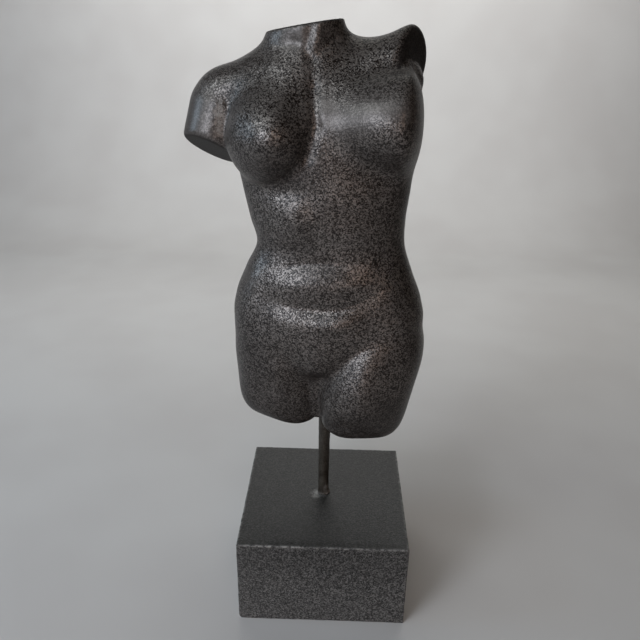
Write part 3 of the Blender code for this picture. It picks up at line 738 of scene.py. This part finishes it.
# chips along the top edges: place, size across, size down
CHIPS = (
    ((19.5, -45.9, 51.9), (2.8, 1.7, 1.8)),
    ((23.5, -45.7, 51.7), (1.8, 1.3, 1.4)),
    ((11.0, -45.6, 51.6), (1.0, 1.0, 1.7)),
    ((28.0, -45.7, 51.6), (1.2, 1.0, 1.0)),
    ((-30.0, -45.6, 51.7), (1.6, 1.0, 1.1)),
    ((-9.0, -45.7, 51.7), (2.0, 1.0, 1.1)),
    ((46.1, -46.1, 52.0), (2.4, 2.4, 3.4)),
    ((-46.3, -46.3, -0.4), (3.0, 3.0, 3.6)),
    ((45.8, -20.0, 51.9), (1.3, 2.6, 1.3)),
    ((-45.8, 14.0, 51.9), (1.3, 2.1, 1.3)),
    ((-14.0, 45.8, 51.9), (2.8, 1.3, 1.3)),
    ((30.0, 45.8, 51.9), (1.6, 1.2, 1.3)),
    ((-13.0, -45.8, -0.4), (1.2, 1.1, 1.3)),
    ((10.0, -45.8, -0.5), (1.8, 1.1, 1.2)),
)


def block_field(p):
    x, y, z = p
    r = EDGE * (1.0 + 0.35 * noise(p, 14, 3))
    q = [np.abs(x) - BLOCK_SIDE / 2 + r, np.abs(y) - BLOCK_SIDE / 2 + r, np.abs(z - BLOCK_HEIGHT / 2) - BLOCK_HEIGHT / 2 + r]
    outside = np.sqrt(sum(np.maximum(a, 0) ** 2 for a in q))
    f = outside + np.minimum(np.maximum(np.maximum(q[0], q[1]), q[2]), 0) - r
    rim = step(-3.2, -0.2, np.minimum(np.maximum(q[0], q[1]), np.maximum(np.minimum(q[0], q[1]), q[2])))
    f = f + rim * (0.10 + 0.10 * noise(p, 3.1, 7) + 0.06 * noise(p, 1.3, 8))
    for centre, size in CHIPS:
        near = ellipsoid(p, centre, size)
        f = soft_max(f, -(near + 0.12 * noise(p, 1.2, 9)), 0.35)
    return f


def make_block():
    """Six faces, ruled closer towards their edges, drawn onto the field."""
    def ruled(size, count):
        t = np.linspace(-1, 1, count)
        t = 0.55 * t + 0.45 * np.sin(t * math.pi / 2)
        t = np.sign(t) * (1 - (1 - np.abs(t)) ** 1.25)
        return size / 2 * t

    wide = ruled(BLOCK_SIDE, 132)
    tall = ruled(BLOCK_HEIGHT, 82) + BLOCK_HEIGHT / 2
    points, faces, index = [], [], {}

    def at(i, j, k):
        key = (i, j, k)
        if key not in index:
            index[key] = len(points)
            points.append((wide[i], wide[j], tall[k]))
        return index[key]

    w, t = len(wide) - 1, len(tall) - 1
    for i in range(w):
        for j in range(w):
            faces.append((at(i, j, t), at(i + 1, j, t), at(i + 1, j + 1, t), at(i, j + 1, t)))
            faces.append((at(i, j, 0), at(i, j + 1, 0), at(i + 1, j + 1, 0), at(i + 1, j, 0)))
    for i in range(w):
        for k in range(t):
            faces.append((at(i, 0, k), at(i + 1, 0, k), at(i + 1, 0, k + 1), at(i, 0, k + 1)))
            faces.append((at(i, w, k), at(i, w, k + 1), at(i + 1, w, k + 1), at(i + 1, w, k)))
            faces.append((at(0, i, k), at(0, i, k + 1), at(0, i + 1, k + 1), at(0, i + 1, k)))
            faces.append((at(w, i, k), at(w, i + 1, k), at(w, i + 1, k + 1), at(w, i, k + 1)))
    points = drawn_on(block_field, np.array(points), 2, 5)
    points[:, 2] = np.maximum(points[:, 2], 0.0)
    p = points.T
    ax, ay = np.abs(p[0]), np.abs(p[1])
    down = BLOCK_HEIGHT - p[2]
    side = np.maximum(ax, ay) - BLOCK_SIDE / 2
    upper = np.exp(-((np.hypot(down, side) / 0.75) ** 2))
    upright = np.exp(-((np.hypot(ax - 45, ay - 45) / 0.75) ** 2))
    lower = np.exp(-((np.hypot(p[2], side) / 0.7) ** 2))
    wear = 1.5 * upper + 0.32 * upright + 0.14 * lower
    wear = wear * (0.72 + 0.35 * noise(p, 9, 21)) * np.clip(1.0 + 0.6 * noise(p, 2.6, 22), 0, 1.6)
    for centre, size in CHIPS:
        wear = np.maximum(wear, 0.8 * np.clip(1.1 - 1.5 * np.maximum(ellipsoid(p, centre, size), 0), 0, 1) ** 2)
    around = np.hypot(p[0] + 0.7 + 2.6, p[1] - 1.0 + 2.0)
    patch = np.clip(1.35 - around / 3.6 + 0.35 * noise(p, 2.0, 31), 0, 1) * step(-1.0, -0.2, -down)
    wear = np.maximum(wear, 0.85 * patch)
    top = step(-0.7, -0.15, -down) * (side < -0.3)
    obj = object_of("block_skin", points, faces, {"wear": np.clip(wear, 0, 1), "top": top})
    obj.data.materials.append(block_finish())
    return obj


# ---------------------------------------------------------------- rod
ROD_X, ROD_Y = -0.7, 1.0


def make_rod():
    """A slightly uneven rod, thinner to its foot, with the glue that holds it
    in the block spilt round its foot."""
    sides = 72
    lo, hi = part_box("support_rod")
    low, high = lo.z / MM, hi.z / MM
    heights = [low]
    while heights[-1] < high - 0.35:
        heights.append(heights[-1] + (0.35 if 48 < heights[-1] < 60 else 0.7))
    heights.append(high)
    points, faces = [], []
    for z in heights:
        r = 2.8 + 0.6 * (z - 39.0) / 74.0
        for k in range(sides):
            a = 2 * math.pi * k / sides
            points.append((r * math.cos(a), r * math.sin(a), z))
    points = np.array(points)
    p = points.T
    r = np.hypot(p[0], p[1])
    around = np.arctan2(p[1], p[0])
    free = step(51.0, 51.6, p[2]) * step(-107.0, -100.0, -p[2])
    lumps = 0.16 * noise(p, 7.0, 41) + 0.07 * noise(p, 2.4, 42)
    left = np.exp(-(((np.mod(around + 0.35 - math.pi, 2 * math.pi) - math.pi) / 1.0) ** 2))
    glue = np.exp(-(((p[2] - 51.0) / 1.5) ** 2)) * step(50.9, 51.5, p[2])
    glue = glue * (0.35 + 0.9 * left + 0.35 * noise(p, 1.8, 43))
    scar = left * np.exp(-(((p[2] - 55.5) / 3.6) ** 2)) * (0.75 + 0.6 * noise(p, 1.5, 44))
    grow = 1 + (free * lumps + glue * 0.9 + free * 0.22 * np.clip(scar, 0, 1)) / r
    points[:, 0] = p[0] * grow + ROD_X
    points[:, 1] = p[1] * grow + ROD_Y
    rings = len(heights)
    for j in range(rings - 1):
        for k in range(sides):
            m = (k + 1) % sides
            faces.append((j * sides + k, j * sides + m, (j + 1) * sides + m, (j + 1) * sides + k))
    faces.append(tuple(reversed(range(sides))))
    faces.append(tuple((rings - 1) * sides + k for k in range(sides)))
    wear = np.clip(1.3 * scar + 1.6 * glue - 0.25, 0, 1) * (p[2] > 50.5)
    obj = object_of("rod_skin", points, faces, {"wear": wear})
    obj.data.materials.append(rod_finish())
    return obj


# ---------------------------------------------------------------- put together
for make, node, slot in (
    (make_figure, "torso", "figure"),
    (make_block, "plinth_block", "block"),
    (make_rod, "support_rod", "rod"),
):
    piece = make()
    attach(piece, "root")
    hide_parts(node)

# the hidden solids take the same finishes
for node, piece in (("torso", "torso_skin"), ("plinth_block", "block_skin"), ("support_rod", "rod_skin")):
    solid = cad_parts[node]
    solid.data.materials.clear()
    solid.data.materials.append(bpy.data.objects[piece].data.materials[0])


# ---------------------------------------------------------------- stage
def make_stage():
    """A pale floor that curves up into a wall far behind."""
    profile = [(-900.0, 0.0), (620.0, 0.0)]
    for k in range(1, 13):
        a = math.radians(90 * k / 12)
        profile.append((620.0 + 260.0 * math.sin(a), 260.0 * (1 - math.cos(a))))
    profile.append((880.0, 1500.0))
    points = [(x, y, z) for y, z in profile for x in (-1600.0, 1600.0)]
    faces = [(2 * k, 2 * k + 1, 2 * k + 3, 2 * k + 2) for k in range(len(profile) - 1)]
    floor = object_of("floor", points, faces)
    floor.data.materials.append(floor_finish())


def lamp(name, place, towards, size, watts, colour=(1.0, 1.0, 1.0)):
    data = bpy.data.lights.new(name, "AREA")
    data.shape = "RECTANGLE"
    data.size, data.size_y = size[0] * MM, size[1] * MM
    data.energy = watts
    data.color = colour
    obj = bpy.data.objects.new(name, data)
    bpy.context.scene.collection.objects.link(obj)
    obj.location = Vector(place) * MM
    obj.rotation_euler = (Vector(towards) - Vector(place)).to_track_quat("-Z", "Y").to_euler()
    return obj


LAMPS = (
    ("window_left", (-967, -85, 457), (0, 0, 215), (281, 281), 1.25, (0.60, 0.80, 1.0)),
    ("window", (-624, -743, 457), (0, 0, 215), (340, 281), 3.55, (0.85, 0.90, 1.0)),
    ("window_high", (-718, -415, 774), (0, 0, 215), (317, 317), 1.00, (0.90, 0.98, 1.0)),
    ("window_top", (-430, -560, 915), (0, 0, 215), (460, 340), 1.15, (0.90, 0.96, 1.0)),
    ("lamp_right", (202, -949, 457), (0, 0, 215), (281, 281), 0.62, (1.0, 0.66, 0.48)),
    ("lamp_low", (-174, -985, 215), (0, 0, 215), (317, 317), 0.45, (1.0, 0.76, 0.67)),
    ("behind", (100, 565, 1034), (0, 0, 215), (631, 631), 0.70, (0.98, 1.0, 0.96)),
    ("on_the_wall", (0, 520, 520), (0, 900, 560), (900, 300), 1.75, (1.0, 0.99, 0.97)),
    ("on_the_floor", (0, 430, 430), (0, 560, 0), (1000, 300), 1.3, (1.0, 0.99, 0.97)),
)


def make_light():
    for row in LAMPS:
        lamp(*row)
    world = bpy.data.worlds.new("studio")
    bpy.context.scene.world = world
    world.use_nodes = True
    ground = world.node_tree.nodes["Background"]
    ground.inputs["Color"].default_value = (1.0, 0.80, 0.60, 1.0)
    ground.inputs["Strength"].default_value = 0.025


# ---------------------------------------------------------------- camera
def make_camera():
    pitch, roll, turn = math.radians(23.15), math.radians(0.88), math.radians(1.33)
    ahead = Vector((0, math.cos(pitch), -math.sin(pitch)))
    over = Vector((0, math.sin(pitch), math.cos(pitch)))
    across = Vector((1, 0, 0))
    right = math.cos(roll) * across + math.sin(roll) * over
    up = -math.sin(roll) * across + math.cos(roll) * over
    place = Vector((-4.095, -307.35, 291.24)) * MM
    about = Matrix.Rotation(turn, 3, "Z")
    view = Matrix((about @ right, about @ up, about @ -ahead)).transposed().to_4x4()
    view.translation = about @ place
    data = bpy.data.cameras.new("camera")
    data.sensor_width = 36.0
    data.lens = 650.0 * 36.0 / 640.0
    data.clip_start, data.clip_end = 0.01, 20.0
    camera = bpy.data.objects.new("camera", data)
    camera.matrix_world = view
    bpy.context.scene.collection.objects.link(camera)
    bpy.context.scene.camera = camera


make_stage()
make_light()
make_camera()
bpy.context.scene.view_settings.view_transform = "Standard"
bpy.context.scene.view_settings.look = "None"
